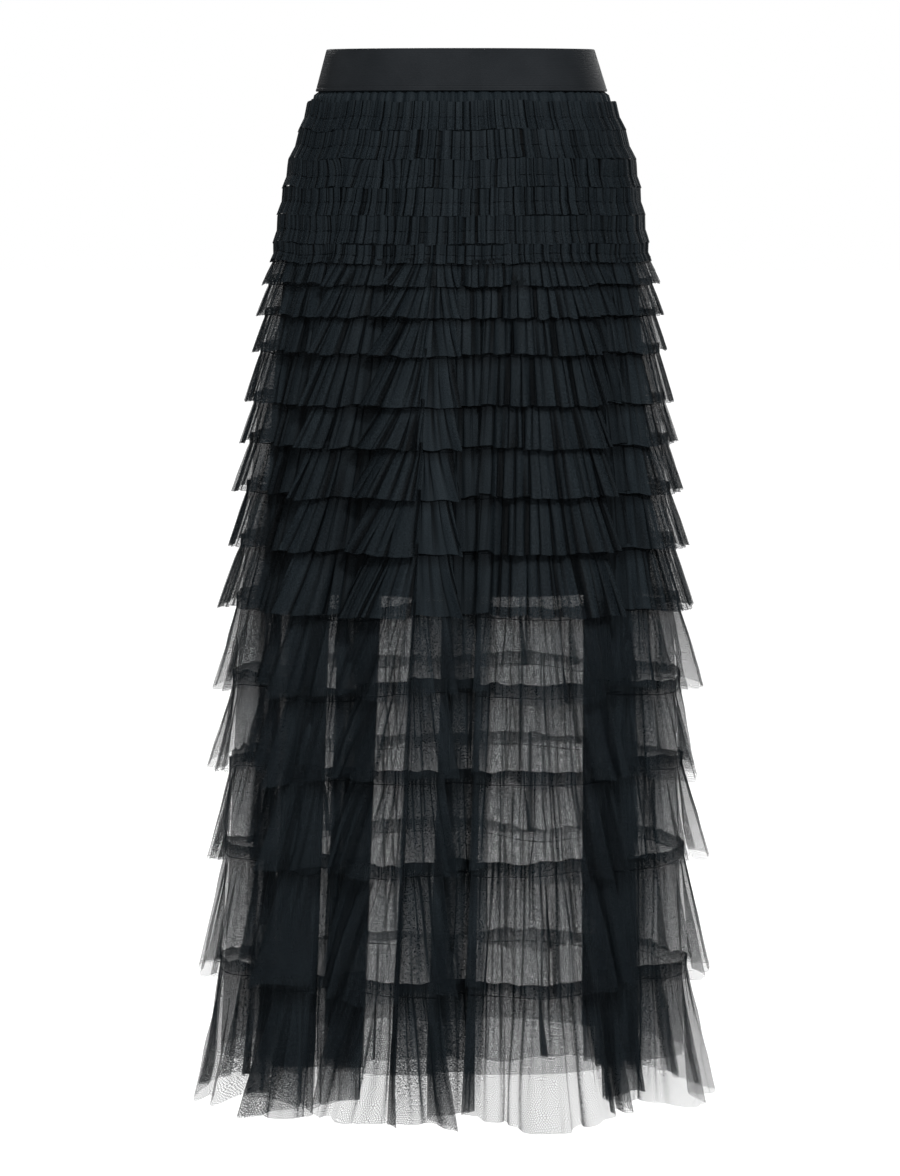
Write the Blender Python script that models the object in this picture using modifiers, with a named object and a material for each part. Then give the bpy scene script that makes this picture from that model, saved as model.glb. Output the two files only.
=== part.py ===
"""A worn, hollow maxi skirt: elastic waistband, sheer base tube, short lining and nineteen gathered tiers.

The origin is the centre of the skirt's waist, at the waistband's mid height. +Z is up, and the front
faces -Y. Sizes are in millimetres, and a drop is a distance below the origin.
"""

import math
import random
from collections import namedtuple

import bmesh
import bpy
from mathutils import Vector

MM = 0.001

# Cloth and seams
NET_WALL = 1.2
BAND_WALL = 2.0
SEAM_GAP = 0.3
BAND_HALF_HEIGHT = 19.0
TUCK_TOP = 8.0
BASE_HEM = 887.0
LINING_HEM = 466.0
LINING_EASE = 18.0
LINING_FOLD_GAIN = 0.4
HEM_CLEARANCE = 2.5
CUTTER_SIZE = 1200.0

# The body of the skirt at each height: half its width and depth, how far it sways towards +X,
# and how far the main folds have grown. A tier's own flare is added to it
Section = namedtuple("Section", "drop half_width half_depth sway fold_share")
SECTIONS = (
    Section(-19.0, 120.8, 88.0, 0.5, 0.0),
    Section(19.0, 131.7, 98.0, 1.4, 0.0),
    Section(53.4, 143.0, 109.0, 2.0, 0.0),
    Section(80.5, 152.5, 117.0, 2.0, 0.0),
    Section(130.3, 161.5, 125.0, 1.0, 0.05),
    Section(192.8, 170.6, 134.0, 0.5, 0.15),
    Section(294.0, 182.4, 147.0, -1.0, 0.35),
    Section(478.7, 197.0, 164.0, -2.5, 0.62),
    Section(887.0, 212.0, 181.0, -7.0, 1.0),
    Section(930.0, 213.6, 182.8, -7.3, 1.04),
)

# The main folds: ridges and valleys that fan out from the hips, by their angle round the skirt (-90 is the
# front, 0 the +X side, 90 the back) at the waist and at the hem, and their height at the hem
FoldLine = namedtuple("FoldLine", "angle_at_waist angle_at_hem height")
FOLD_LINES = (
    FoldLine(-180.0, -180.0, 0.0),
    FoldLine(-164.0, -163.0, 3.0),
    FoldLine(-149.0, -147.0, -13.0),
    FoldLine(-131.0, -134.0, 7.0),
    FoldLine(-111.0, -121.0, -16.0),
    FoldLine(-97.0, -104.0, 7.0),
    FoldLine(-82.0, -85.0, -8.0),
    FoldLine(-63.0, -64.0, 5.0),
    FoldLine(-41.0, -43.0, -12.0),
    FoldLine(-21.0, -21.0, 4.0),
    FoldLine(0.0, 0.0, 0.0),
    FoldLine(19.0, 20.0, -8.0),
    FoldLine(37.0, 38.0, 5.0),
    FoldLine(56.0, 57.0, -10.0),
    FoldLine(75.0, 76.0, 6.0),
    FoldLine(94.0, 95.0, -9.0),
    FoldLine(112.0, 113.0, 5.0),
    FoldLine(130.0, 131.0, -11.0),
    FoldLine(147.0, 147.0, 5.0),
    FoldLine(164.0, 164.0, -7.0),
)
COLUMNS_PER_FOLD_LINE = 2
COLUMNS = len(FOLD_LINES) * COLUMNS_PER_FOLD_LINE

# The gathered tiers, top to bottom: the strip's top edge and hem, how much of its top lies flat under the
# tier above, how far its hem stands out, its ruffle waves, and its columns for each column of the base
Tier = namedtuple("Tier", "top hem header flare waves fineness")
TIERS = (
    Tier(27.2, 49.8, 6.0, 4.0, 6, 1),
    Tier(45.8, 77.8, 6.0, 4.0, 6, 1),
    Tier(73.8, 102.3, 6.0, 4.0, 6, 1),
    Tier(98.3, 127.6, 6.0, 4.0, 6, 1),
    Tier(123.6, 152.9, 6.0, 4.0, 6, 1),
    Tier(148.9, 171.0, 5.0, 4.5, 6, 1),
    Tier(167.0, 191.0, 5.0, 8.0, 8, 1),
    Tier(186.0, 219.0, 6.0, 9.0, 8, 1),
    Tier(214.0, 251.6, 6.0, 9.0, 8, 1),
    Tier(245.6, 296.8, 8.0, 10.0, 9, 1),
    Tier(289.8, 334.0, 8.0, 11.0, 9, 1),
    Tier(327.0, 377.4, 8.0, 13.5, 9, 1),
    Tier(369.4, 426.3, 9.0, 14.5, 10, 1),
    Tier(417.3, 481.5, 10.0, 16.5, 10, 1),
    Tier(471.5, 553.0, 11.0, 20.0, 17, 2),
    Tier(542.0, 628.0, 12.0, 20.5, 17, 2),
    Tier(617.0, 709.5, 12.0, 22.5, 18, 2),
    Tier(698.5, 813.6, 12.0, 23.5, 19, 2),
    Tier(802.6, 925.8, 12.0, 23.0, 20, 2),
)
HEM_LIFT_SHARE = 0.035
LEAST_WAVE_COLUMNS = 3
LOWEST_CREST = 0.78

NET_COLOUR = (0.012, 0.014, 0.017, 1.0)
BAND_COLOUR = (0.020, 0.023, 0.027, 1.0)
LINING_COLOUR = (0.006, 0.007, 0.008, 1.0)


def between(low, high, share):
    return low + (high - low) * share


def section_at(drop):
    """The skirt's section at a drop, straight between the rows of the table."""
    rows = SECTIONS
    below = next((i for i, row in enumerate(rows) if row.drop >= drop), len(rows) - 1)
    below = max(below, 1)
    upper, lower = rows[below - 1], rows[below]
    share = (drop - upper.drop) / (lower.drop - upper.drop)
    return Section(*(between(a, b, share) for a, b in zip(upper, lower)))


def fold_at(column, drop):
    """The angle and the fold height at a column, eased between two fold lines."""
    position = column / COLUMNS_PER_FOLD_LINE
    index = math.floor(position)
    share = position - index
    here = FOLD_LINES[index % len(FOLD_LINES)]
    after = FOLD_LINES[(index + 1) % len(FOLD_LINES)]
    fall = min(max(drop / BASE_HEM, 0.0), 1.0)
    angle = between(here.angle_at_waist, here.angle_at_hem, fall)
    next_angle = between(after.angle_at_waist, after.angle_at_hem, fall)
    if next_angle < angle:
        next_angle += 360.0
    ease = 0.5 - 0.5 * math.cos(math.pi * share)
    return math.radians(between(angle, next_angle, share)), between(here.height, after.height, ease)


def skirt_point(column, drop, out=0.0, fold_gain=1.0):
    """A point on the skirt's surface at a column and a drop, moved out along the section's normal."""
    section = section_at(drop)
    angle, height = fold_at(column, drop)
    cosine, sine = math.cos(angle), math.sin(angle)
    normal = Vector((cosine / section.half_width, sine / section.half_depth, 0.0)).normalized()
    on_ellipse = Vector((section.half_width * cosine + section.sway, section.half_depth * sine, -drop))
    return (on_ellipse + normal * (out + height * section.fold_share * fold_gain)) * MM


def chord_point(column, drop, out=0.0, fold_gain=1.0):
    """A point at any column, straight between the base's own columns, so that a finer piece nests on it."""
    index = math.floor(column)
    here = skirt_point(index, drop, out, fold_gain)
    after = skirt_point(index + 1, drop, out, fold_gain)
    return here.lerp(after, column - index)


def material(name, colour, roughness):
    made = bpy.data.materials.new(name)
    made.use_nodes = True
    shader = made.node_tree.nodes["Principled BSDF"]
    shader.inputs["Base Color"].default_value = colour
    shader.inputs["Roughness"].default_value = roughness
    made.diffuse_color = colour
    return made


def cloth_wall(name, rings, wall, wall_side, finish, collection):
    """A tube of cloth lofted through rings of points. wall_side is 1 to thicken outwards and -1 inwards."""
    mesh = bpy.data.meshes.new(name)
    body = bmesh.new()
    rows = [[body.verts.new(point) for point in ring] for ring in rings]
    count = len(rings[0])
    for upper, lower in zip(rows, rows[1:]):
        for i in range(count):
            j = (i + 1) % count
            body.faces.new((upper[i], lower[i], lower[j], upper[j]))
    body.to_mesh(mesh)
    body.free()
    mesh.shade_smooth()
    mesh.materials.append(finish)
    piece = bpy.data.objects.new(name, mesh)
    collection.objects.link(piece)
    thicken = piece.modifiers.new("wall", "SOLIDIFY")
    thicken.thickness = wall * MM
    thicken.offset = wall_side
    thicken.use_even_offset = False
    return piece


def half_space(name, side, collection):
    """A cutter for all behind the side seams (side 1) or ahead of them (side -1), and half their gap."""
    mesh = bpy.data.meshes.new(name)
    block = bmesh.new()
    bmesh.ops.create_cube(block, size=CUTTER_SIZE * MM)
    middle = Vector((0.0, side * (CUTTER_SIZE - SEAM_GAP) / 2, -BASE_HEM / 2)) * MM
    bmesh.ops.translate(block, verts=block.verts, vec=middle)
    block.to_mesh(mesh)
    block.free()
    cutter = bpy.data.objects.new(name, mesh)
    cutter.hide_render = True
    cutter.display_type = "WIRE"
    collection.objects.link(cutter)
    return cutter


def tucked_out(drop):
    """How far the base lies inside the skirt's outline, where it is tucked up behind the waistband."""
    return -(BAND_WALL + SEAM_GAP) if drop <= BAND_HALF_HEIGHT else 0.0


def lining_out(drop):
    """How far the lining lies inside the outline: just behind the base at the waist, and looser below."""
    return tucked_out(drop) - NET_WALL - SEAM_GAP - LINING_EASE * drop / LINING_HEM


def add_waistband(finish, collection):
    drops = (-BAND_HALF_HEIGHT, 0.0, BAND_HALF_HEIGHT)
    rings = [[skirt_point(column, drop) for column in range(COLUMNS)] for drop in drops]
    cloth_wall("waistband", rings, BAND_WALL, -1, finish, collection)


def add_panels(name, drops, out_of, fold_gain, cutters, finish, collection):
    """A front and a back panel, which meet at the side seams. Each is the whole tube less its other half."""
    rings = []
    for drop in drops:
        rings.append([skirt_point(column, drop, out_of(drop), fold_gain) for column in range(COLUMNS)])
    for side, cutter in cutters.items():
        panel = cloth_wall(f"{name}_{side}", rings, NET_WALL, -1, finish, collection)
        halve = panel.modifiers.new("side_seams", "BOOLEAN")
        halve.operation = "DIFFERENCE"
        halve.solver = "EXACT"
        halve.object = cutter


def wave_heights(columns, waves, seed):
    """The height of a ruffle's uneven waves at each column, from 0 in a trough to about 1 on a crest."""
    chance = random.Random(seed)
    lengths = [columns // waves] * waves
    for i in range(columns - sum(lengths)):
        lengths[(i * 3 + seed) % waves] += 1
    for _ in range(waves):
        giver, taker = chance.randrange(waves), chance.randrange(waves)
        if lengths[giver] > max(LEAST_WAVE_COLUMNS, columns // waves - 1):
            lengths[giver] -= 1
            lengths[taker] += 1
    heights = []
    for length in lengths:
        crest = chance.uniform(LOWEST_CREST, 1.0)
        heights += [crest * (0.5 + 0.5 * math.cos(2 * math.pi * step / length)) for step in range(length)]
    turn = chance.randrange(columns)
    return heights[turn:] + heights[:turn]


def add_tier(number, tier, finish, collection):
    """One gathered strip: a flat header on the base, and below it a ruffle that flares out to its hem."""
    columns = COLUMNS * tier.fineness
    heights = wave_heights(columns, tier.waves, number)
    header_end = tier.top + tier.header
    lift = HEM_LIFT_SHARE * (tier.hem - tier.top)
    flare = tier.flare - NET_WALL - HEM_CLEARANCE
    rings = []
    for drop in (tier.top, header_end):
        rings.append([chord_point(i / tier.fineness, drop, SEAM_GAP) for i in range(columns)])
    hem = []
    for i, height in enumerate(heights):
        hem.append(chord_point(i / tier.fineness, tier.hem - lift * height, HEM_CLEARANCE + flare * height))
    rings.append(hem)
    cloth_wall(f"tier_{number:02d}", rings, NET_WALL, 1, finish, collection)


def main():
    for existing in list(bpy.data.objects):
        bpy.data.objects.remove(existing)
    collection = bpy.data.collections.new("tiered_maxi_skirt")
    bpy.context.scene.collection.children.link(collection)
    net = material("net", NET_COLOUR, 0.75)
    band = material("band", BAND_COLOUR, 0.45)
    lining = material("lining", LINING_COLOUR, 0.6)

    cutting = bpy.data.collections.new("cutters")
    bpy.context.scene.collection.children.link(cutting)
    cutters = {"front": half_space("behind", 1, cutting), "back": half_space("ahead", -1, cutting)}

    add_waistband(band, collection)
    seam_drops = [tier.top + tier.header for tier in TIERS]
    base_drops = [TUCK_TOP, BAND_HALF_HEIGHT, *seam_drops, BASE_HEM]
    add_panels("base", base_drops, tucked_out, 1.0, cutters, net, collection)
    section_drops = [row.drop for row in SECTIONS if BAND_HALF_HEIGHT <= row.drop < LINING_HEM]
    lining_drops = [TUCK_TOP, *section_drops, LINING_HEM]
    add_panels("lining", lining_drops, lining_out, LINING_FOLD_GAIN, cutters, lining, collection)
    for number, tier in enumerate(TIERS, 1):
        add_tier(number, tier, net, collection)


main()
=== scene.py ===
"""The looks of a worn maxi skirt of gathered net tiers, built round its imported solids.

Lengths in the tables are in millimetres, and a drop is a distance below the centre of the waist. Angles go
round the skirt in degrees: -90 is the front, 0 the +X side and 90 the back. A place round the skirt is
counted in fold lines. A piece's surface is a grid of points, with its rows down the skirt and its columns
round it.
"""

import math
from collections import namedtuple

import bmesh
import bpy
import numpy as np
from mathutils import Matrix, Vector


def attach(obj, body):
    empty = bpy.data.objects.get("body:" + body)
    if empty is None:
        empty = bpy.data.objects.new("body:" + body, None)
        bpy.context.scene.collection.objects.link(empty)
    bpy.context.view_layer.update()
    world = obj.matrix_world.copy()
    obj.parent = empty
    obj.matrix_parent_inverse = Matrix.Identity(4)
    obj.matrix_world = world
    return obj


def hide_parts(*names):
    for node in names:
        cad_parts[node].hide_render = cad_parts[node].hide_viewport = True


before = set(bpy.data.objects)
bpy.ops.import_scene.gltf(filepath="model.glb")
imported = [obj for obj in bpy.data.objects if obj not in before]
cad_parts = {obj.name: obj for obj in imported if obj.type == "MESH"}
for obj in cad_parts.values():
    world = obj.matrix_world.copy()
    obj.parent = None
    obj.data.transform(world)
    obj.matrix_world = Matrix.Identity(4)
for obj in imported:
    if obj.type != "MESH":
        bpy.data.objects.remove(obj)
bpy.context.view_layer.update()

MM = 0.001
FULL_TURN = 2 * np.pi

# The body of the skirt at each height, as the solids have it
Section = namedtuple("Section", "drop half_width half_depth sway fold_share")
SECTIONS = (
    Section(-19.0, 120.8, 88.0, 0.5, 0.0),
    Section(19.0, 131.7, 98.0, 1.4, 0.0),
    Section(53.4, 143.0, 109.0, 2.0, 0.0),
    Section(80.5, 152.5, 117.0, 2.0, 0.0),
    Section(130.3, 161.5, 125.0, 1.0, 0.05),
    Section(192.8, 170.6, 134.0, 0.5, 0.15),
    Section(294.0, 182.4, 147.0, -1.0, 0.35),
    Section(478.7, 197.0, 164.0, -2.5, 0.62),
    Section(887.0, 212.0, 181.0, -7.0, 1.0),
    Section(930.0, 213.6, 182.8, -7.3, 1.04),
)
BASE_HEM = 887.0
LINING_HEM = 466.0
LINING_EASE = 18.0
BAND_HALF_HEIGHT = 19.0

# The main folds, as the solids have them: ridges and valleys that fan out from the hips
FoldLine = namedtuple("FoldLine", "angle_at_waist angle_at_hem height")
FOLD_LINES = (
    FoldLine(-180.0, -180.0, 0.0),
    FoldLine(-164.0, -163.0, 3.0),
    FoldLine(-149.0, -147.0, -13.0),
    FoldLine(-131.0, -134.0, 7.0),
    FoldLine(-111.0, -121.0, -16.0),
    FoldLine(-97.0, -104.0, 7.0),
    FoldLine(-82.0, -85.0, -8.0),
    FoldLine(-63.0, -64.0, 5.0),
    FoldLine(-41.0, -43.0, -12.0),
    FoldLine(-21.0, -21.0, 4.0),
    FoldLine(0.0, 0.0, 0.0),
    FoldLine(19.0, 20.0, -8.0),
    FoldLine(37.0, 38.0, 5.0),
    FoldLine(56.0, 57.0, -10.0),
    FoldLine(75.0, 76.0, 6.0),
    FoldLine(94.0, 95.0, -9.0),
    FoldLine(112.0, 113.0, 5.0),
    FoldLine(130.0, 131.0, -11.0),
    FoldLine(147.0, 147.0, 5.0),
    FoldLine(164.0, 164.0, -7.0),
)
LINE_COUNT = len(FOLD_LINES)

# Where the base lies in overlapping pleats: the fold line at a pleat's middle, whether its top layer points
# to lower (-1) or higher (1) angles, half the width of its turns in fold lines, how far its layers overlap at
# the skirt's hem, how much further its ruffles flare over their neighbours, and how deep its under layer lies
Pleat = namedtuple("Pleat", "line way width overlap flare depth")
PLEATS = (
    Pleat(1.86, -1, 0.14, 5.0, 4.0, 10.0),
    Pleat(3.00, -1, 0.29, 24.0, 15.0, 20.0),
    Pleat(4.12, -1, 0.18, 9.0, 32.0, 20.0),
    Pleat(4.98, 1, 0.12, 2.0, 12.0, 8.0),
    Pleat(5.46, 1, 0.12, 4.0, 14.0, 14.0),
    Pleat(5.97, -1, 0.13, 3.0, 6.0, 10.0),
    Pleat(6.20, -1, 0.05, 0.0, 0.0, 0.0),
    Pleat(7.66, 1, 0.15, 8.0, 8.0, 14.0),
    Pleat(8.18, 1, 0.22, 18.0, 14.0, 18.0),
    Pleat(11.85, 1, 0.18, 12.0, 14.0, 18.0),
    Pleat(12.62, -1, 0.15, 7.0, 14.0, 12.0),
    Pleat(14.93, -1, 0.14, 4.0, 14.0, 14.0),
    Pleat(16.66, -1, 0.16, 8.0, 22.0, 16.0),
    Pleat(17.38, 1, 0.20, 16.0, 8.0, 20.0),
    Pleat(18.62, -1, 0.14, 5.0, 0.0, 12.0),
)

# How a pleat runs from its middle, in its half widths: over how much of it the flare grows, where its under
# layer ends and over how much of it that fades, and the same for the cloth that it presses flat
FLARE_RISE = 1.2
LEAST_RECOVERY = 0.5
UNDER_LAYER_END = 4.2
UNDER_LAYER_FADE = 3.2
PRESSED_FROM = 1.1
PRESSED_RISE = 0.9
PRESSED_END = 3.4
PRESSED_FADE = 1.6

# How many millimetres of line a millimetre of flare takes to die away, how early the pleats grow down the
# skirt, how much of a fold's reach a pleat presses out, how many layers of net it makes, and how many the
# base has elsewhere
FLARE_RECOVERY = 1.5
PLEAT_START = 0.5
PRESSED_SHARE = 0.8
PRESSED_LAYERS = 2.6
BASE_LAYERS = 1.7

# The gathered tiers: the strip's top edge and hem, its header above the gathering thread, and how far its hem
# flares
Tier = namedtuple("Tier", "top hem header flare style")
TIERS = (
    Tier(28.0, 53.3, 14.0, 4.0, "shirred"),
    Tier(53.6, 79.0, 14.0, 4.0, "shirred"),
    Tier(79.3, 104.4, 15.0, 4.0, "shirred"),
    Tier(104.8, 129.0, 12.5, 4.0, "shirred"),
    Tier(129.4, 154.2, 13.5, 4.0, "shirred"),
    Tier(154.6, 171.0, 9.0, 4.0, "shirred"),
    Tier(167.0, 191.0, 5.0, 8.0, "pleated"),
    Tier(186.0, 219.0, 6.0, 9.0, "pleated"),
    Tier(214.0, 251.6, 6.0, 9.0, "pleated"),
    Tier(245.6, 296.8, 8.0, 10.0, "pleated"),
    Tier(289.8, 334.0, 8.0, 11.0, "pleated"),
    Tier(327.0, 377.4, 8.0, 13.5, "pleated"),
    Tier(369.4, 426.3, 9.0, 14.5, "pleated"),
    Tier(417.3, 481.5, 10.0, 16.5, "pleated"),
    Tier(471.5, 553.0, 11.0, 20.0, "sheer"),
    Tier(542.0, 628.0, 12.0, 20.5, "sheer"),
    Tier(617.0, 709.5, 12.0, 22.5, "sheer"),
    Tier(698.5, 813.6, 12.0, 23.5, "sheer"),
    Tier(802.6, 925.8, 12.0, 23.0, "sheer"),
)

# A gathered strip's plan line turns to and fro as it goes round, in creases that point inwards. Each kind of
# crease has its count round the skirt, how far it swings the line at the thread and at the hem, in radians,
# and its breadth, in radians of its own phase
Crease = namedtuple("Crease", "count seam_swing hem_swing breadth")

# columns, rows: points round the strip, and down its ruffle
# seam_room, header_rise, rounding: how far out the folds reach at the thread, how much further at the top
# edge, and the power by which they grow from thread to hem
# seam_layers, hem_layers: how many thicknesses of net the finest folds lay on each other
# side_share: how much of those layers show at the skirt's sides
# hem_loosens, back_loosens: how much of them part where a pleat meets the hem, and where seams cross the back
# hem_wander, hem_follow: how far the cut edge wanders, and how much lower it hangs on a ridge
# crumple, sag: the size of the ruffle's dents, and of its seam's own sag
# crease_shade, seam_shade, valley_shade: how strongly painted shade darkens the net's colour in its creases,
# as a painted shadow under the tier above, and in the main valleys
Style = namedtuple(
    "Style",
    "columns rows creases seam_room header_rise rounding seam_layers hem_layers side_share hem_loosens "
    "back_loosens hem_wander hem_follow crumple sag crease_shade seam_shade valley_shade"
)
STYLES = {
    "shirred": Style(
        columns=1900, rows=5,
        creases=(Crease(108, 1.8, 1.7, 0.5), Crease(190, 0.7, 0.7, 0.6), Crease(67, 0.6, 0.6, 0.5)),
        seam_room=2.6, header_rise=0.9, rounding=0.8,
        seam_layers=5.0, hem_layers=4.0, side_share=1.0, hem_loosens=0.0, back_loosens=0.0,
        hem_wander=1.1, hem_follow=0.0, crumple=0.0, sag=0.8,
        crease_shade=1.0, seam_shade=0.12, valley_shade=0.3,
    ),
    "pleated": Style(
        columns=1700, rows=8,
        creases=(Crease(135, 1.7, 1.6, 0.6), Crease(60, 0.6, 1.4, 0.5), Crease(19, 0.1, 0.6, 0.5)),
        seam_room=3.0, header_rise=0.0, rounding=0.9,
        seam_layers=4.5, hem_layers=4.0, side_share=0.36, hem_loosens=0.0, back_loosens=0.0,
        hem_wander=1.8, hem_follow=0.1, crumple=0.2, sag=0.8,
        crease_shade=0.88, seam_shade=0.68, valley_shade=0.5,
    ),
    "sheer": Style(
        columns=2100, rows=13,
        creases=(
            Crease(215, 1.25, 0.1, 1.1), Crease(95, 0.7, 0.8, 0.6), Crease(34, 0.4, 1.8, 0.6),
            Crease(19, 0.1, 1.2, 0.7),
        ),
        seam_room=2.4, header_rise=0.0, rounding=1.05,
        seam_layers=3.2, hem_layers=1.35, side_share=0.65, hem_loosens=0.85, back_loosens=0.6,
        hem_wander=3.0, hem_follow=0.5, crumple=0.6, sag=3.0,
        crease_shade=0.6, seam_shade=0.5, valley_shade=0.0,
    ),
}

# How far a crease's phase wanders, in radians, how much its swing differs from place to place, and the power
# by which the swing changes from thread to hem
CREASE_WANDER = 2.8
SWING_VARIETY = 0.6
SWING_LIMITS = (0.25, 1.5)
SWING_PACE = 0.7
PACE_VARIETY = 0.8

# Where the strips sit on the base: how far out at the thread, how much more at the header's edge, how much
# more at the hem for each millimetre of flare, and the reach below which their folds flatten
THREAD_SEAT = 0.8
HEADER_SEAT = 0.6
HEM_SEAT = 0.2
MOST_HEM_SEAT = 2.0
LEAST_REACH = 2.0

# The folds' depth over its standard deviation, the header's further layers, its edge's wander over the hem's,
# how the ruffle's rows crowd towards its thread, and the dents in it
FOLD_DEPTH = 2.6
HEADER_LAYERS = 1.1
HEADER_WANDER = 0.8
ROW_CROWDING = 1.15
DENTS = 24
DENT_DEPTH = 0.4

# The seams' common sag, how much lower a fold's crest hangs at the hem for each millimetre it stands out, the
# rows of the header, the steepest that a crease turns, in radians, and the columns over which it is fitted
COMMON_SAG = 1.5
CREST_DROOP = 0.2
HEADER_ROWS = 3
STEEPEST_HEADING = 2.2
FITTING_REACH = 24

# The net: how much of the view one layer covers, the pitch of its holes, how much of it is thread, how far
# its threads wobble, and the least that a layer is taken to face its viewer
NET_COVER = 0.27
NET_PITCH = 1.7
THREAD_SHARE = 0.36
NET_WOBBLE = 6.0
LEAST_FACING = 0.22

# The studio, in metres
AMBIENT = 0.3
FLOOR_Z = -1.04
FLOOR_RADIUS = 40.0
FLOOR_SIDES = 64
CAMERA_PLACE = (-0.009, -5.5, -0.062)
CAMERA_AIM = (-0.009, 0.0, -0.468)
LIGHTS_AIM = (0, 0, -0.45)


def skirt_section(drop):
    """The skirt's half width, half depth, sway and fold share at a drop."""
    drops = [row.drop for row in SECTIONS]
    return [np.interp(drop, drops, [row[i] for row in SECTIONS]) for i in range(1, 5)]


def fold_angle(place, drop):
    """The angle round the skirt, in radians, at places counted in fold lines."""
    index = np.floor(place).astype(int)
    fall = min(max(drop / BASE_HEM, 0.0), 1.0)
    angles = np.array([
        line.angle_at_waist + (line.angle_at_hem - line.angle_at_waist) * fall for line in FOLD_LINES
    ])
    here = angles[index % LINE_COUNT] + 360.0 * (index // LINE_COUNT)
    after = angles[(index + 1) % LINE_COUNT] + 360.0 * ((index + 1) // LINE_COUNT)
    return np.radians(here + (after - here) * (place - index))


def fold_height(place):
    """How far the main folds stand out at places round the skirt, at their full growth."""
    index = np.floor(place).astype(int)
    heights = np.array([line.height for line in FOLD_LINES])
    ease = 0.5 - 0.5 * np.cos(np.pi * (place - index))
    return heights[index % LINE_COUNT] * (1 - ease) + heights[(index + 1) % LINE_COUNT] * ease


def smooth(value):
    """Eases a value from 0 to 1, and holds it there."""
    value = np.clip(value, 0, 1)
    return value * value * (3 - 2 * value)


def pleating(place, line_length, share, spread):
    """What the pleats do at places round the skirt: how far they carry the cloth along the plan line, how far
    inwards, and how flat they press it."""
    along = np.zeros_like(place)
    inwards = np.zeros_like(place)
    pressed = np.zeros_like(place)
    grown = share ** PLEAT_START
    for pleat in PLEATS:
        away = ((place - pleat.line + LINE_COUNT / 2) % LINE_COUNT - LINE_COUNT / 2) / pleat.width
        over = -pleat.way * away
        reach = grown * (pleat.width * line_length + pleat.overlap)
        recovery = max(FLARE_RECOVERY * pleat.flare / (pleat.width * line_length), LEAST_RECOVERY)
        fanned = smooth(over / FLARE_RISE) * smooth(1 - (over - FLARE_RISE) / recovery)
        flare = grown * spread * pleat.flare * fanned
        along += pleat.way * flare - reach * away * np.exp(0.5 - 0.5 * away * away)
        under = smooth((1 - over) / 2) * smooth((over + UNDER_LAYER_END) / UNDER_LAYER_FADE)
        inwards += grown * pleat.depth * under
        flat = smooth((PRESSED_FROM - over) / PRESSED_RISE) * smooth((over + PRESSED_END) / PRESSED_FADE)
        pressed = np.maximum(pressed, flat)
    return along, inwards, np.minimum(1, 2 * share) * pressed


def plan(place, drop, spread=0.0, pleat_share=1.0):
    """The skirt's plan line at a drop: points in millimetres, the way out from the skirt, and how flat the
    pleats press the cloth. spread is 0 at a tier's thread and 1 at its hem."""
    half_width, half_depth, sway, share = skirt_section(drop)
    line_length = FULL_TURN * math.sqrt((half_width ** 2 + half_depth ** 2) / 2) / LINE_COUNT
    along, inwards, pressed = pleating(place, line_length, share * pleat_share, spread)
    moved = place + along / line_length
    angle = fold_angle(moved, drop)
    slope = share * (fold_height(moved + 0.1) - fold_height(moved - 0.1)) / (0.2 * line_length)
    normal = np.stack([np.cos(angle) / half_width, np.sin(angle) / half_depth], -1)
    normal /= np.linalg.norm(normal, axis=-1, keepdims=True)
    tangent = np.stack([-normal[..., 1], normal[..., 0]], -1)
    outward = normal - tangent * slope[..., None]
    outward /= np.linalg.norm(outward, axis=-1, keepdims=True)
    centre = np.stack([half_width * np.cos(angle) + sway, half_depth * np.sin(angle)], -1)
    return centre + normal * (share * fold_height(place) - inwards)[..., None], outward, pressed


def plan_ruler(drop, spread=0.0):
    """Places round the skirt at a drop, and the length of the plan line up to each of them."""
    fine = np.linspace(0, LINE_COUNT, 8001)
    points, _, _ = plan(fine, drop, spread)
    runs = np.concatenate([[0], np.cumsum(np.linalg.norm(np.diff(points, axis=0), axis=1))])
    return fine, runs


def ring_noise(chance, columns, low, high):
    """Smooth noise that closes round a ring, with waves from low to high in number, about -1 to 1."""
    u = np.arange(columns) / columns
    total = np.zeros(columns)
    for count in range(low, high + 1):
        total += chance.normal() * np.cos(FULL_TURN * (count * u + chance.random()))
    return total / (np.abs(total).max() + 1e-9)


def without_drift(values, lowest):
    """Rows of values round a ring, without their waves longer than 1/lowest of it."""
    spectrum = np.fft.rfft(values, axis=-1)
    spectrum[..., :lowest] = 0
    return np.fft.irfft(spectrum, values.shape[-1], axis=-1)


def blurred(values, reach):
    """Values round a ring, averaged over about reach of them on each side."""
    spectrum = np.fft.rfft(values)
    waves = np.arange(len(spectrum)) * FULL_TURN / len(values)
    return np.fft.irfft(spectrum * np.exp(-0.5 * (waves * reach) ** 2), len(values))


def creased_heading(chance, style, fall):
    """Where a gathered strip's plan line heads at each row and column, away from the skirt's own line."""
    columns = style.columns
    u = np.arange(columns) / columns
    heading = np.zeros((len(fall), columns))
    for crease in style.creases:
        wander = CREASE_WANDER * ring_noise(chance, columns, 2, max(3, crease.count // 2))
        away = ((crease.count * u + wander / FULL_TURN + 0.5) % 1 - 0.5) * FULL_TURN / crease.breadth
        shape = away * np.exp(0.5 - 0.5 * away * away)
        strength = np.clip(1 + SWING_VARIETY * ring_noise(chance, columns, 2, crease.count), *SWING_LIMITS)
        pace = SWING_PACE * np.exp(PACE_VARIETY * ring_noise(chance, columns, 3, crease.count))
        grown = np.clip(fall, 0, 1)[:, None] ** pace[None, :]
        swing = crease.seam_swing + (crease.hem_swing - crease.seam_swing) * grown
        heading += swing * strength[None, :] * shape[None, :]
    return np.clip(heading, -STEEPEST_HEADING, STEEPEST_HEADING)


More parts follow.
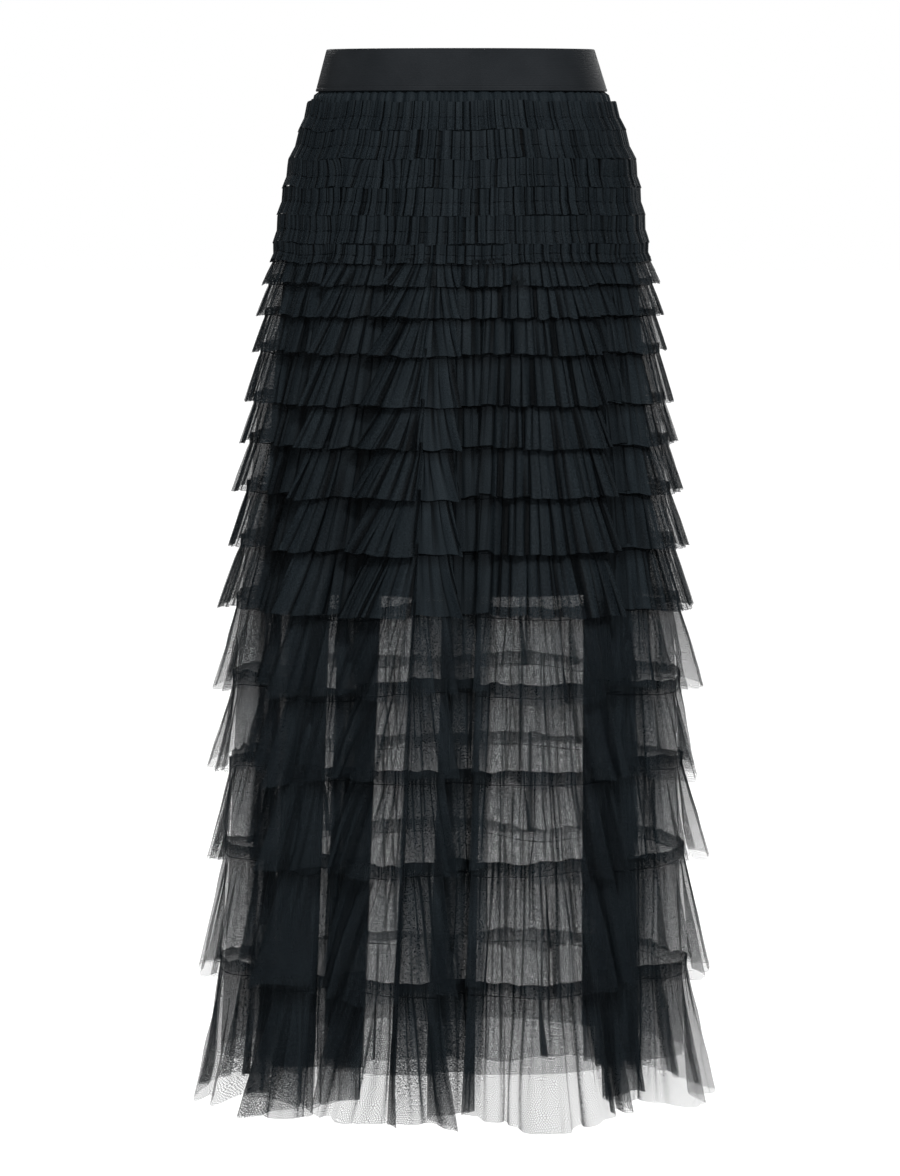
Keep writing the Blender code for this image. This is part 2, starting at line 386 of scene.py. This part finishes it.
def fitted_heading(heading, spacing, step):
    """The heading, swung more or less so that cloth of one length takes up the line's length all round."""
    needed = np.clip(blurred(spacing, FITTING_REACH) / step, 0.2, 0.97)
    given = np.clip(blurred(np.cos(heading), FITTING_REACH), 0.1, 0.97)
    return np.clip(heading * np.sqrt((1 - needed) / (1 - given)), -STEEPEST_HEADING, STEEPEST_HEADING)


def seam_sag(place, number, own_sag):
    """How far a tier's seam hangs below its level: a part that all the seams share, and a part of its own."""
    total = np.zeros_like(place)
    for seed, size in ((700, COMMON_SAG), (700 + number, own_sag)):
        chance = np.random.default_rng(seed)
        for count in range(2, 12):
            height = size * chance.normal() / 3
            total += height * np.cos(FULL_TURN * (count * place / LINE_COUNT + chance.random()))
    return total


def painted_fold_shade(heading, out, style, spread, place, pressed, share):
    """How much painted shade darkens the net's colour: in its creases and steep flanks, as a painted shadow
    under the tier above, and in the skirt's deep folds."""
    # painted shade in the creases and on flanks that turn steeply away, less towards a pressed ruffle's hem
    sunk = np.clip((blurred(out, 9) - out) / 1.0, 0, 1)
    steep = np.sin(heading) ** 2
    creased = style.crease_shade * np.maximum(sunk, 0.8 * steep) * (1 - 0.7 * pressed * spread)
    # painted shade in the skirt's main valleys
    valley = np.clip(-fold_height(place) / 14, 0, 1) * min(1.0, 2 * share)
    # painted shadow under the tier above, reaching further down in the valleys
    under = style.seam_shade * smooth(1 - spread / (0.22 + 0.3 * valley))
    return 1 - (1 - creased) * (1 - style.valley_shade * valley) * (1 - under)


def cover_of(heading, layers, aside):
    """How much of the view some layers of net cover where they turn away from the skirt's own line. aside is
    0 at the skirt's front and back and 1 at its sides, which are seen from halfway round to the front."""
    turn = math.pi / 4 * aside
    facing = np.sqrt((np.cos(heading) * np.cos(turn)) ** 2 + (np.sin(heading) * np.sin(turn)) ** 2)
    return 1 - (1 - NET_COVER) ** (layers / np.clip(facing, LEAST_FACING, 1))


def grid_piece(name, points, weave, cover, closed, finish, nodes, shade=None):
    """A sheet of cloth through a grid of points (rows, columns, 3) in millimetres. weave is each point's
    place in the flat cloth, in millimetres, with one more column where the grid closes on itself."""
    rows, columns = points.shape[:2]
    spans = columns if closed else columns - 1
    start = np.arange(rows - 1)[:, None] * columns
    here = np.arange(spans)[None, :]
    after = (here + 1) % columns
    below = start + columns
    quads = np.stack([start + here, below + here, below + after, start + after], -1).reshape(-1, 4)
    mesh = bpy.data.meshes.new(name)
    mesh.vertices.add(rows * columns)
    mesh.vertices.foreach_set("co", (points * MM).astype(np.float32).ravel())
    mesh.loops.add(quads.size)
    mesh.loops.foreach_set("vertex_index", quads.astype(np.int32).ravel())
    mesh.polygons.add(len(quads))
    mesh.polygons.foreach_set("loop_start", np.arange(0, quads.size, 4, dtype=np.int32))
    mesh.update(calc_edges=True)
    flat = mesh.uv_layers.new(name="cloth")
    wide = weave.shape[1]
    top = np.arange(rows - 1)[:, None] * wide
    corners = np.stack([top + here, top + wide + here, top + wide + here + 1, top + here + 1], -1).reshape(-1)
    flat.data.foreach_set("uv", (weave.reshape(-1, 2)[corners] * MM).astype(np.float32).ravel())
    # cover sets how opaque the net is; the shade value, zero unless given, is painted shade on its colour
    values = {"cover": cover, "shade": np.zeros(cover.shape) if shade is None else shade}
    for kind, value in values.items():
        layer = mesh.attributes.new(kind, "FLOAT", "POINT")
        layer.data.foreach_set("value", value.astype(np.float32).ravel())
    mesh.shade_smooth()
    mesh.materials.append(finish)
    piece = bpy.data.objects.new(name, mesh)
    bpy.context.scene.collection.objects.link(piece)
    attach(piece, "root")
    if nodes:
        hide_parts(*nodes)
    return piece


def tier_piece(number, tier, finish):
    """One gathered strip of net: a header above its thread, and a ruffle that fans out below it."""
    style = STYLES[tier.style]
    columns = style.columns
    chance = np.random.default_rng(100 + number)
    seam_drop = tier.top + tier.header
    ruffle_height = tier.hem - seam_drop
    header_fall = -np.linspace(1, 1 / HEADER_ROWS, HEADER_ROWS)
    ruffle_fall = np.linspace(0, 1, style.rows) ** ROW_CROWDING
    fall = np.concatenate([header_fall, ruffle_fall])
    spread = np.clip(fall, 0, 1)
    above = np.clip(-fall, 0, 1)
    fanned = np.zeros_like(spread) if tier.style == "shirred" else spread
    drops = seam_drop + np.where(fall < 0, fall * tier.header, fall * ruffle_height)
    fine, runs = plan_ruler(seam_drop)
    _, hem_runs = plan_ruler(tier.hem, fanned[-1])
    shared = 0.5 * (runs / runs[-1] + hem_runs / hem_runs[-1])
    own_place = np.interp(np.arange(columns) / columns, shared, fine)
    heading = creased_heading(chance, style, fall)
    cloth = runs[-1] / np.cos(heading[HEADER_ROWS]).mean()
    step = cloth / columns
    wander = style.hem_wander * ring_noise(chance, columns, 9, 90)
    lowest = max(4, int(style.creases[-1].count * 0.6))

    points = np.zeros((len(fall), columns, 3))
    crowding = np.zeros((len(fall), columns))
    aside = np.zeros((len(fall), columns))
    shade = np.zeros((len(fall), columns))
    for row, drop in enumerate(drops):
        fine, runs = plan_ruler(drop, fanned[row])
        own_run = np.interp(own_place, fine, runs)
        heading[row] = fitted_heading(heading[row], np.diff(own_run, append=own_run[0] + runs[-1]), step)
        taken = np.cumsum(np.cos(heading[row]))
        sideways = without_drift(taken * runs[-1] / taken[-1] - own_run, lowest)
        leaning = np.sin(heading[row])
        outwards = without_drift(np.cumsum(leaning - leaning.mean()) * step, lowest)

        height = FOLD_DEPTH * outwards.std()
        room = style.seam_room + (tier.flare - style.seam_room) * spread[row] ** style.rounding
        room += style.header_rise * above[row]
        gain = min(1.0, room / max(height, 1e-6))
        hem_seat = min(MOST_HEM_SEAT, HEM_SEAT * tier.flare)
        seat = THREAD_SEAT + HEADER_SEAT * above[row] + hem_seat * spread[row]
        out = max(room - height * gain, 0) + gain * (height / 2 + outwards)
        flattened = LEAST_REACH * np.exp(np.minimum(out / LEAST_REACH - 1, 0))
        out = seat + np.where(out > LEAST_REACH, out, flattened)

        place = np.interp((own_run + gain * sideways) % runs[-1], runs, fine)
        line, outward, pressed = plan(place, drop, fanned[row])
        reach = out * (1 - PRESSED_SHARE * pressed)
        angle = fold_angle(place, drop)
        aside[row] = side_share(angle)
        stacked = 1 + (PRESSED_LAYERS - 1) * pressed * (1 - style.hem_loosens * spread[row] ** 2)
        crowding[row] = stacked * (1 - (1 - style.side_share) * aside[row])
        behind = smooth((np.sin(angle) - 0.2) / 0.5)
        crowding[row] *= 1 - style.back_loosens * behind * (1 - spread[row] ** 0.5)
        points[row, :, :2] = line + outward * reach[:, None]
        droop = CREST_DROOP * (reach - reach.mean()) * spread[row]
        follow = style.hem_follow * fold_height(place) * spread[row] ** 2
        sag = seam_sag(place, number, style.sag)
        edge = wander * (spread[row] ** 2 - HEADER_WANDER * above[row] ** 2)
        points[row, :, 2] = -(drop + sag + droop + follow + edge)
        share = skirt_section(drop)[3]
        # painted shade and painted shadow for the net's colour, kept on the points
        shade[row] = painted_fold_shade(heading[row], out, style, spread[row], place, pressed, share)
    if style.crumple:
        u = np.arange(columns) / columns
        for _ in range(DENTS):
            count = chance.integers(20, 120)
            slant = chance.uniform(-3, 3)
            ripple = np.sin(FULL_TURN * (count * u[None, :] + slant * fall[:, None] + chance.random()))
            swell = ring_noise(chance, columns, 2, 14)[None, :] * np.sin(np.pi * spread)[:, None]
            points[..., :2] += (style.crumple * DENT_DEPTH * ripple * swell)[..., None] * unit_out(points)
    weave = np.zeros((len(fall), columns + 1, 2))
    weave[..., 0] = np.arange(columns + 1) / columns * cloth
    weave[..., 1] = drops[:, None]
    layers = style.hem_layers + (style.seam_layers - style.hem_layers) * (1 - spread ** 0.5)
    layers = layers * (1 + HEADER_LAYERS * above)
    cover = cover_of(heading, layers[:, None] * crowding, aside)
    piece = grid_piece(
        f"tier_{number:02d}_net", points, weave, cover, True, finish, [f"tier_{number:02d}"], shade
    )
    return piece


def side_share(angle):
    """How near an angle round the skirt, in radians, is to its sides: 1 at them, 0 at the front and back."""
    return smooth((np.abs(np.cos(angle)) - 0.84) / 0.14)


def unit_out(points):
    """The horizontal direction away from the skirt's axis at each point."""
    flat = points[..., :2]
    return flat / np.linalg.norm(flat, axis=-1, keepdims=True)


def base_pieces(finish):
    """The sheer net front and back under the tiers, gathered a little into the waistband."""
    columns, waist_gathers = 401, 84
    drops = np.concatenate([[8.0, 14.0, 19.0], np.linspace(22, 60, 8), np.linspace(75, BASE_HEM, 36)])
    for side, first in (("front", 0.0), ("back", LINE_COUNT / 2)):
        place = first + np.linspace(0, LINE_COUNT / 2, columns)
        points = np.zeros((len(drops), columns, 3))
        cover = np.zeros((len(drops), columns))
        width = 0.0
        for row, drop in enumerate(drops):
            line, outward, pressed = plan(place, drop)
            fade = math.exp(-max(drop - BAND_HALF_HEIGHT, 0) / 22)
            crowding = 5 * fade + 3 * smooth((190 - drop) / 40)
            cover[row] = 1 - (1 - NET_COVER) ** (BASE_LAYERS + crowding + (PRESSED_LAYERS - 1) * pressed)
            swell = np.sin(FULL_TURN * (waist_gathers * place / LINE_COUNT + 0.4 * np.sin(3.7 * place)))
            ripple = 1.6 * fade * (1 - 2 * (0.5 - 0.5 * swell) ** 2)
            tuck = -4.5 if drop <= BAND_HALF_HEIGHT else -1.0
            points[row, :, :2] = line + outward * (tuck + ripple)[:, None]
            points[row, :, 2] = -drop
            width = max(width, np.linalg.norm(np.diff(points[row, :, :2], axis=0), axis=1).sum())
        weave = np.zeros((len(drops), columns, 2))
        weave[..., 0] = np.linspace(0, width, columns)
        weave[..., 1] = drops[:, None]
        piece = grid_piece(f"base_{side}_net", points, weave, cover, False, finish, [f"base_{side}"])


def lining_pieces(finish):
    """The short opaque front and back inside the base."""
    columns = 181
    drops = np.concatenate([[8.0, 19.0, 26.0], np.linspace(40, LINING_HEM, 36)])
    for side, first in (("front", 0.0), ("back", LINE_COUNT / 2)):
        place = first + np.linspace(0, LINE_COUNT / 2, columns)
        points = np.zeros((len(drops), columns, 3))
        for row, drop in enumerate(drops):
            line, outward, _ = plan(place, drop, 0.0, 0.0)
            tuck = -3.0 if drop <= BAND_HALF_HEIGHT else 0.0
            inside = tuck - 2.6 - LINING_EASE * drop / LINING_HEM
            points[row, :, :2] = line + outward * inside
            points[row, :, 2] = -drop
        width = np.linalg.norm(np.diff(points[-1, :, :2], axis=0), axis=1).sum()
        weave = np.zeros((len(drops), columns, 2))
        weave[..., 0] = np.linspace(0, width, columns)
        weave[..., 1] = drops[:, None]
        cover = np.ones((len(drops), columns))
        piece = grid_piece(
            f"lining_{side}_cloth", points, weave, cover, False, finish, [f"lining_{side}"]
        )


def waistband_piece(finish):
    """The elastic band: a thick, round-edged loop."""
    columns = 360
    place = np.linspace(0, LINE_COUNT, columns, endpoint=False)
    thick, bevel = 2.0, 0.8
    outline = [
        (-BAND_HALF_HEIGHT, -thick / 2),
        (-BAND_HALF_HEIGHT + 0.1, -0.5),
        (-BAND_HALF_HEIGHT + bevel, 0.0),
        (-12.0, 0.0),
        (-4.0, 0.0),
        (4.0, 0.0),
        (12.0, 0.0),
        (15.0, 0.0),
        (15.6, -0.4),
        (16.2, 0.1),
        (BAND_HALF_HEIGHT - bevel, 0.1),
        (BAND_HALF_HEIGHT - 0.1, -0.5),
        (BAND_HALF_HEIGHT, -thick / 2),
        (BAND_HALF_HEIGHT - bevel, -thick),
        (0.0, -thick),
        (-BAND_HALF_HEIGHT + bevel, -thick),
        (-BAND_HALF_HEIGHT, -thick / 2),
    ]
    points = np.zeros((len(outline), columns, 3))
    for row, (drop, out) in enumerate(outline):
        line, outward, _ = plan(place, drop)
        points[row, :, :2] = line + outward * out
        points[row, :, 2] = -drop
    length = np.linalg.norm(np.diff(points[5, :, :2], axis=0), axis=1).sum()
    weave = np.zeros((len(outline), columns + 1, 2))
    weave[..., 0] = np.arange(columns + 1) / columns * length
    weave[..., 1] = np.array([drop for drop, _ in outline])[:, None]
    cover = np.ones((len(outline), columns))
    piece = grid_piece("waistband_elastic", points, weave, cover, True, finish, ["waistband"])
    weld(piece)


def weld(piece):
    """Joins the first and last rows of a piece whose rows come back to where they start."""
    body = bmesh.new()
    body.from_mesh(piece.data)
    bmesh.ops.remove_doubles(body, verts=body.verts, dist=0.01 * MM)
    body.to_mesh(piece.data)
    body.free()


def stitch_pieces(finish):
    """The gathering threads: a thin line round each tier."""
    columns, sides, radius = 320, 3, 0.45
    for number, tier in enumerate(TIERS, 1):
        seam_drop = tier.top + tier.header
        fine, runs = plan_ruler(seam_drop)
        places = np.interp(np.arange(columns) / columns * runs[-1], runs, fine)
        line, outward, pressed = plan(places, seam_drop)
        centre = line + outward * (2.6 - 1.6 * pressed)[:, None]
        chance = np.random.default_rng(500 + number)
        wander = 0.5 * ring_noise(chance, columns, 5, 60)
        sag = seam_sag(places, number, STYLES[tier.style].sag)
        points = np.zeros((sides + 1, columns, 3))
        for side in range(sides + 1):
            turn = FULL_TURN * side / sides
            points[side, :, :2] = centre + outward * (radius * math.cos(turn))
            points[side, :, 2] = -(seam_drop + wander + sag) + radius * math.sin(turn)
        weave = np.zeros((sides + 1, columns + 1, 2))
        weave[..., 0] = np.arange(columns + 1) / columns * runs[-1]
        weave[..., 1] = np.linspace(0, 2, sides + 1)[:, None]
        cover = np.ones((sides + 1, columns))
        piece = grid_piece(f"stitch_{number:02d}", points, weave, cover, True, finish, [])
        weld(piece)


def new_material(name):
    made = bpy.data.materials.new(name)
    made.use_nodes = True
    return made, made.node_tree.nodes, made.node_tree.links, made.node_tree.nodes["Principled BSDF"]


def math_node(nodes, links, operation, first, second=None, clamp=False):
    node = nodes.new("ShaderNodeMath")
    node.operation = operation
    node.use_clamp = clamp
    for socket, value in ((0, first), (1, second)):
        if value is None:
            continue
        if isinstance(value, (int, float)):
            node.inputs[socket].default_value = value
        else:
            links.new(value, node.inputs[socket])
    return node.outputs[0]


def cloth_place(nodes, links):
    """Where a point lies in the flat cloth: its distance across and down, in metres."""
    cloth = nodes.new("ShaderNodeUVMap")
    cloth.uv_map = "cloth"
    split = nodes.new("ShaderNodeSeparateXYZ")
    links.new(cloth.outputs[0], split.inputs[0])
    return cloth.outputs[0], split.outputs["X"], split.outputs["Y"]


def waves(nodes, links, along, pitch):
    """A sine wave along one way of the flat cloth, with its pitch in millimetres."""
    phase = math_node(nodes, links, "MULTIPLY", along, FULL_TURN / (pitch * MM))
    return math_node(nodes, links, "SINE", phase)


def cloudy(nodes, links, place, scale, detail=2.0):
    """Soft noise over the flat cloth, about 0.5."""
    noise = nodes.new("ShaderNodeTexNoise")
    noise.inputs["Scale"].default_value = scale
    noise.inputs["Detail"].default_value = detail
    links.new(place, noise.inputs["Vector"])
    return noise.outputs["Fac"]


def between_colours(nodes, links, share, low, high):
    """Blends from one colour to another as a share goes from 0.3 to 0.7."""
    ramp = nodes.new("ShaderNodeValToRGB")
    ramp.color_ramp.elements[0].position = 0.3
    ramp.color_ramp.elements[0].color = (*low, 1)
    ramp.color_ramp.elements[1].position = 0.7
    ramp.color_ramp.elements[1].color = (*high, 1)
    links.new(share, ramp.inputs["Fac"])
    return ramp.outputs["Color"]


def raised(nodes, links, shader, height, distance, strength=1.0):
    """Raises fine relief on a shader's surface."""
    bump = nodes.new("ShaderNodeBump")
    bump.inputs["Strength"].default_value = strength
    bump.inputs["Distance"].default_value = distance
    links.new(height, bump.inputs["Height"])
    links.new(bump.outputs["Normal"], shader.inputs["Normal"])


def net_material():
    """Fine black net: a hexagonal mesh that covers as much of the view as the points' cover says, with
    patches where layers cross and soft streaks down the cloth. Painted shade from the points darkens its
    colour in its folds and under the tier above."""
    made, nodes, links, shader = new_material("net")
    wave = 4 * math.pi / (math.sqrt(3) * NET_PITCH * MM)
    place, across, down = cloth_place(nodes, links)
    wobble = nodes.new("ShaderNodeTexNoise")
    wobble.inputs["Scale"].default_value = 120.0
    wobble.inputs["Detail"].default_value = 1.0
    links.new(place, wobble.inputs["Vector"])
    shift = nodes.new("ShaderNodeSeparateXYZ")
    links.new(wobble.outputs["Color"], shift.inputs[0])
    pulled = math_node(nodes, links, "MULTIPLY", shift.outputs["X"], NET_WOBBLE * MM)
    across = math_node(nodes, links, "ADD", across, pulled)
    pulled = math_node(nodes, links, "MULTIPLY", shift.outputs["Y"], NET_WOBBLE * MM)
    down = math_node(nodes, links, "ADD", down, pulled)
    across = math_node(nodes, links, "MULTIPLY", across, wave * math.sqrt(3) / 2)
    down = math_node(nodes, links, "MULTIPLY", down, wave)
    half = math_node(nodes, links, "MULTIPLY", down, 0.5)
    first = math_node(nodes, links, "COSINE", down)
    second = math_node(nodes, links, "COSINE", math_node(nodes, links, "ADD", across, half))
    third = math_node(nodes, links, "COSINE", math_node(nodes, links, "SUBTRACT", across, half))
    total = math_node(nodes, links, "ADD", math_node(nodes, links, "ADD", first, second), third)
    threads = nodes.new("ShaderNodeMapRange")
    threads.inputs["From Min"].default_value = -0.4
    threads.inputs["From Max"].default_value = -0.95
    links.new(total, threads.inputs["Value"])
    cover = nodes.new("ShaderNodeAttribute")
    cover.attribute_name = "cover"
    open_share = math_node(nodes, links, "SUBTRACT", 1.0, cover.outputs["Fac"])
    lean = math_node(nodes, links, "SUBTRACT", threads.outputs[0], THREAD_SHARE)
    contrast = math_node(nodes, links, "MULTIPLY", lean, open_share)
    patchy = math_node(nodes, links, "SUBTRACT", cloudy(nodes, links, place, 560.0, 3.0), 0.5)
    doubled = math_node(nodes, links, "SUBTRACT", cover.outputs["Fac"], 0.44, True)
    doubled = math_node(nodes, links, "MULTIPLY", doubled, open_share)
    patches = math_node(nodes, links, "MULTIPLY", math_node(nodes, links, "MULTIPLY", patchy, 15.0), doubled)
    alpha = math_node(nodes, links, "ADD", cover.outputs["Fac"], contrast)
    links.new(math_node(nodes, links, "ADD", alpha, patches, clamp=True), shader.inputs["Alpha"])
    drawn = nodes.new("ShaderNodeVectorMath")
    drawn.operation = "MULTIPLY"
    drawn.inputs[1].default_value = (170.0, 12.0, 1.0)
    links.new(place, drawn.inputs[0])
    streaks = cloudy(nodes, links, drawn.outputs[0], 1.0)
    tone = between_colours(nodes, links, streaks, (0.0066, 0.0096, 0.0121), (0.0136, 0.0186, 0.0223))
    # painted shade and painted shadow: the colour is mixed towards near black where the points' shade value
    # is high
    shade = nodes.new("ShaderNodeAttribute")
    shade.attribute_name = "shade"
    shaded = nodes.new("ShaderNodeMix")
    shaded.data_type = "RGBA"
    links.new(shade.outputs["Fac"], shaded.inputs["Factor"])
    links.new(tone, shaded.inputs["A"])
    shaded.inputs["B"].default_value = (0.0004, 0.0007, 0.0010, 1)
    links.new(shaded.outputs["Result"], shader.inputs["Base Color"])
    shader.inputs["Roughness"].default_value = 0.6
    shader.inputs["Specular IOR Level"].default_value = 0.04
    return made


def lining_material():
    """Matt black plain weave."""
    made, nodes, links, shader = new_material("lining")
    place, across, down = cloth_place(nodes, links)
    warp = waves(nodes, links, across, 0.5)
    weft = waves(nodes, links, down, 0.5)
    weave = math_node(nodes, links, "MULTIPLY", warp, weft)
    raised(nodes, links, shader, weave, 0.05 * MM, 0.5)
    clouds = cloudy(nodes, links, place, 30.0)
    tone = between_colours(nodes, links, clouds, (0.0030, 0.0038, 0.0047), (0.0042, 0.0052, 0.0063))
    links.new(tone, shader.inputs["Base Color"])
    shader.inputs["Roughness"].default_value = 0.7
    shader.inputs["Specular IOR Level"].default_value = 0.04
    return made


def band_material():
    """Woven elastic: fine ribs along the band, crossed by finer threads, with a soft sheen."""
    made, nodes, links, shader = new_material("band")
    place, across, down = cloth_place(nodes, links)
    ribs = waves(nodes, links, down, 1.5)
    threads = waves(nodes, links, across, 0.9)
    fuzz = cloudy(nodes, links, place, 900.0, 2.0)
    weave = math_node(nodes, links, "ADD", ribs, math_node(nodes, links, "MULTIPLY", threads, 0.6))
    weave = math_node(nodes, links, "ADD", weave, math_node(nodes, links, "MULTIPLY", fuzz, 0.8))
    raised(nodes, links, shader, weave, 0.14 * MM, 0.8)
    clouds = cloudy(nodes, links, place, 22.0, 4.0)
    tone = between_colours(nodes, links, clouds, (0.0100, 0.0118, 0.0138), (0.0150, 0.0172, 0.0198))
    links.new(tone, shader.inputs["Base Color"])
    shader.inputs["Roughness"].default_value = 0.5
    shader.inputs["Specular IOR Level"].default_value = 0.06
    return made


def thread_material():
    """Black sewing thread."""
    made, nodes, links, shader = new_material("thread")
    shader.inputs["Base Color"].default_value = (0.002, 0.003, 0.004, 1)
    shader.inputs["Roughness"].default_value = 0.6
    shader.inputs["Specular IOR Level"].default_value = 0.03
    return made


def paper_material():
    """White paper that shows bright, fades into the white surround, and throws little light on the skirt."""
    paper, nodes, links, shader = new_material("paper")
    shader.inputs["Base Color"].default_value = (0.3, 0.3, 0.3, 1)
    shader.inputs["Roughness"].default_value = 0.9
    shader.inputs["Specular IOR Level"].default_value = 0.0
    shader.inputs["Emission Color"].default_value = (1, 1, 1, 1)
    place = nodes.new("ShaderNodeNewGeometry")
    distance = nodes.new("ShaderNodeVectorMath")
    distance.operation = "LENGTH"
    links.new(place.outputs["Position"], distance.inputs[0])
    glow = nodes.new("ShaderNodeMapRange")
    glow.inputs["From Min"].default_value = 1.5
    glow.inputs["From Max"].default_value = 4.0
    glow.inputs["To Min"].default_value = 0.93
    glow.inputs["To Max"].default_value = 1.0
    links.new(distance.outputs["Value"], glow.inputs["Value"])
    seen = nodes.new("ShaderNodeLightPath").outputs["Is Camera Ray"]
    shown = math_node(nodes, links, "MULTIPLY", seen, glow.outputs[0])
    strength = math_node(nodes, links, "MAXIMUM", shown, AMBIENT)
    links.new(strength, shader.inputs["Emission Strength"])
    paper.cycles.emission_sampling = "NONE"
    return paper


def studio():
    """A white surround, soft light all round, key lights, and the camera at the photograph's angle."""
    scene = bpy.context.scene
    scene.view_settings.view_transform = "Standard"
    scene.view_settings.look = "None"
    scene.cycles.transparent_max_bounces = 96
    scene.cycles.max_bounces = 6
    scene.cycles.diffuse_bounces = 3

    world = bpy.data.worlds.new("studio")
    scene.world = world
    world.use_nodes = True
    nodes, links = world.node_tree.nodes, world.node_tree.links
    nodes["Background"].inputs["Color"].default_value = (1, 1, 1, 1)
    seen = nodes.new("ShaderNodeLightPath").outputs["Is Camera Ray"]
    strength = math_node(nodes, links, "MAXIMUM", seen, AMBIENT)
    links.new(strength, nodes["Background"].inputs["Strength"])

    mesh = bpy.data.meshes.new("floor")
    turns = [FULL_TURN * i / FLOOR_SIDES for i in range(FLOOR_SIDES)]
    rim = [(FLOOR_RADIUS * math.cos(turn), FLOOR_RADIUS * math.sin(turn), FLOOR_Z) for turn in turns]
    mesh.from_pydata(rim, [], [list(range(FLOOR_SIDES))])
    floor = bpy.data.objects.new("floor", mesh)
    scene.collection.objects.link(floor)
    mesh.materials.append(paper_material())

    for name, place, size, power in (
        ("key", (1.0, -3.4, 2.0), 0.6, 158.0),
        ("fill", (-1.8, -3.2, 0.3), 1.8, 36.0),
        ("back_key", (-1.0, 3.4, 2.0), 0.6, 158.0),
        ("back_fill", (1.8, 3.2, 0.3), 1.8, 30.0),
    ):
        light = bpy.data.lights.new(name, "AREA")
        light.size = size
        light.energy = power
        lamp = bpy.data.objects.new(name, light)
        lamp.location = place
        aim = Vector(LIGHTS_AIM) - Vector(place)
        lamp.rotation_mode = "QUATERNION"
        lamp.rotation_quaternion = aim.to_track_quat("-Z", "Y")
        scene.collection.objects.link(lamp)

    data = bpy.data.cameras.new("camera")
    data.lens = 186.0
    data.sensor_width = 36.0
    data.clip_end = 60.0
    camera = bpy.data.objects.new("camera", data)
    camera.location = CAMERA_PLACE
    aim = Vector(CAMERA_AIM) - camera.location
    camera.rotation_mode = "QUATERNION"
    camera.rotation_quaternion = aim.to_track_quat("-Z", "Y")
    scene.collection.objects.link(camera)
    scene.camera = camera


def main():
    net = net_material()
    for number, tier in enumerate(TIERS, 1):
        tier_piece(number, tier, net)
    base_pieces(net)
    lining_pieces(lining_material())
    waistband_piece(band_material())
    stitch_pieces(thread_material())
    studio()


main()
